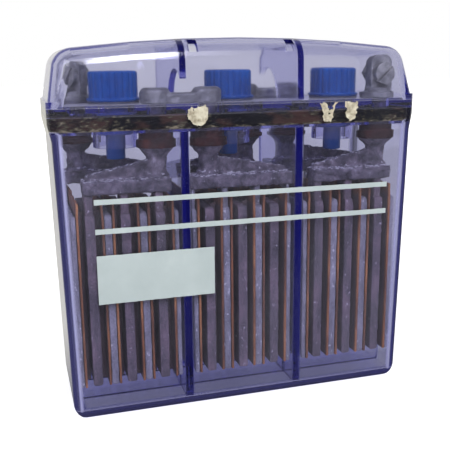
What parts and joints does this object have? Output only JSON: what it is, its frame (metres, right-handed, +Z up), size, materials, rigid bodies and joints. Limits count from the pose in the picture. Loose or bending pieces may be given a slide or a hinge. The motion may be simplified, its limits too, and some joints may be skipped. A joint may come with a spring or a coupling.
{
  "type": "three-cell lead-acid battery in a clear jar",
  "caption": "Flat lead-acid battery with plates in a clear tinted jar, fluted vent plugs, lead connectors and screw terminals under a clear lift-off hood.",
  "frame": {"origin": "middle of the jar's footprint, on the surface it stands on", "axes": "+X to the right along the wide front, +Y to the back, +Z up; the front faces -Y"},
  "size_m": [0.145, 0.05, 0.1448],
  "materials": {
    "jar_clear": "clear, violet-blue tint",
    "lid_clear": "clear, violet-blue tint",
    "hood_clear": "clear, faint violet tint",
    "bitumen": "dark, dirty",
    "positive_plate": "matt dark brown paste",
    "negative_plate": "matt blue-grey paste",
    "separator": "matt orange-brown",
    "strap_lead": "dull cast lead",
    "lead": "dull burned lead",
    "seal_rubber": "red-brown",
    "screw_steel": "dull plated",
    "nut_steel": "dull plated",
    "plug_blue": "fluted",
    "ring_rubber": "soft black"
  },
  "bodies": {
    "case": {"jar": "jar_clear", "cell_lid": "lid_clear", "sealing_compound": "bitumen", "positive_plates_left": "positive_plate", "positive_plates_middle": "positive_plate", "positive_plates_right": "positive_plate", "negative_plates_left": "negative_plate", "negative_plates_middle": "negative_plate", "negative_plates_right": "negative_plate", "separators_left": "separator", "separators_middle": "separator", "separators_right": "separator", "positive_strap_left": "strap_lead", "positive_strap_middle": "strap_lead", "positive_strap_right": "strap_lead", "negative_strap_left": "strap_lead", "negative_strap_middle": "strap_lead", "negative_strap_right": "strap_lead", "positive_post_seal_left": "seal_rubber", "positive_post_seal_middle": "seal_rubber", "positive_post_seal_right": "seal_rubber", "negative_post_seal_left": "seal_rubber", "negative_post_seal_middle": "seal_rubber", "negative_post_seal_right": "seal_rubber", "cell_connector_front": "lead", "cell_connector_rear": "lead", "terminal_positive": "lead", "terminal_negative": "lead", "terminal_nut_positive": "nut_steel", "terminal_nut_negative": "nut_steel"},
    "hood": {"terminal_hood": "hood_clear"},
    "left_vent_ring": {"vent_ring_left": "ring_rubber"},
    "left_vent_plug": {"vent_plug_left": "plug_blue"},
    "middle_vent_ring": {"vent_ring_middle": "ring_rubber"},
    "middle_vent_plug": {"vent_plug_middle": "plug_blue"},
    "right_vent_ring": {"vent_ring_right": "ring_rubber"},
    "right_vent_plug": {"vent_plug_right": "plug_blue"},
    "positive_screw": {"terminal_screw_positive": "screw_steel"},
    "negative_screw": {"terminal_screw_negative": "screw_steel"}
  },
  "joints": [
    {"name": "hood_lift", "type": "slide", "parent": "case", "child": "hood", "axis": [0, 0, 1], "range_m": [0, 0.05]},
    {"name": "left_plug_rise", "type": "slide", "parent": "case", "child": "left_vent_ring", "axis": [0, 0, 1], "range_m": [0, 0.0062]},
    {"name": "left_plug_turn", "type": "hinge", "parent": "left_vent_ring", "child": "left_vent_plug", "pos_m": [-0.046, -0.002, 0.121], "axis": [0, 0, 1], "range_deg": [0, 720]},
    {"name": "middle_plug_rise", "type": "slide", "parent": "case", "child": "middle_vent_ring", "axis": [0, 0, 1], "range_m": [0, 0.0062]},
    {"name": "middle_plug_turn", "type": "hinge", "parent": "middle_vent_ring", "child": "middle_vent_plug", "pos_m": [0, -0.002, 0.121], "axis": [0, 0, 1], "range_deg": [0, 720]},
    {"name": "right_plug_rise", "type": "slide", "parent": "case", "child": "right_vent_ring", "axis": [0, 0, 1], "range_m": [0, 0.0062]},
    {"name": "right_plug_turn", "type": "hinge", "parent": "right_vent_ring", "child": "right_vent_plug", "pos_m": [0.046, -0.002, 0.121], "axis": [0, 0, 1], "range_deg": [0, 720]},
    {"name": "positive_screw_turn", "type": "hinge", "parent": "case", "child": "positive_screw", "pos_m": [0.061, -0.0136, 0.1307], "axis": [0, -1, 0], "continuous": true},
    {"name": "negative_screw_turn", "type": "hinge", "parent": "case", "child": "negative_screw", "pos_m": [-0.0594, 0.0136, 0.1307], "axis": [-0.6428, -0.766, 0], "continuous": true}
  ],
  "couplings": [
    {"joint": "left_plug_rise", "follows": "left_plug_turn", "m_per_rad": 0.00047746},
    {"joint": "middle_plug_rise", "follows": "middle_plug_turn", "m_per_rad": 0.00047746},
    {"joint": "right_plug_rise", "follows": "right_plug_turn", "m_per_rad": 0.00047746}
  ]
}
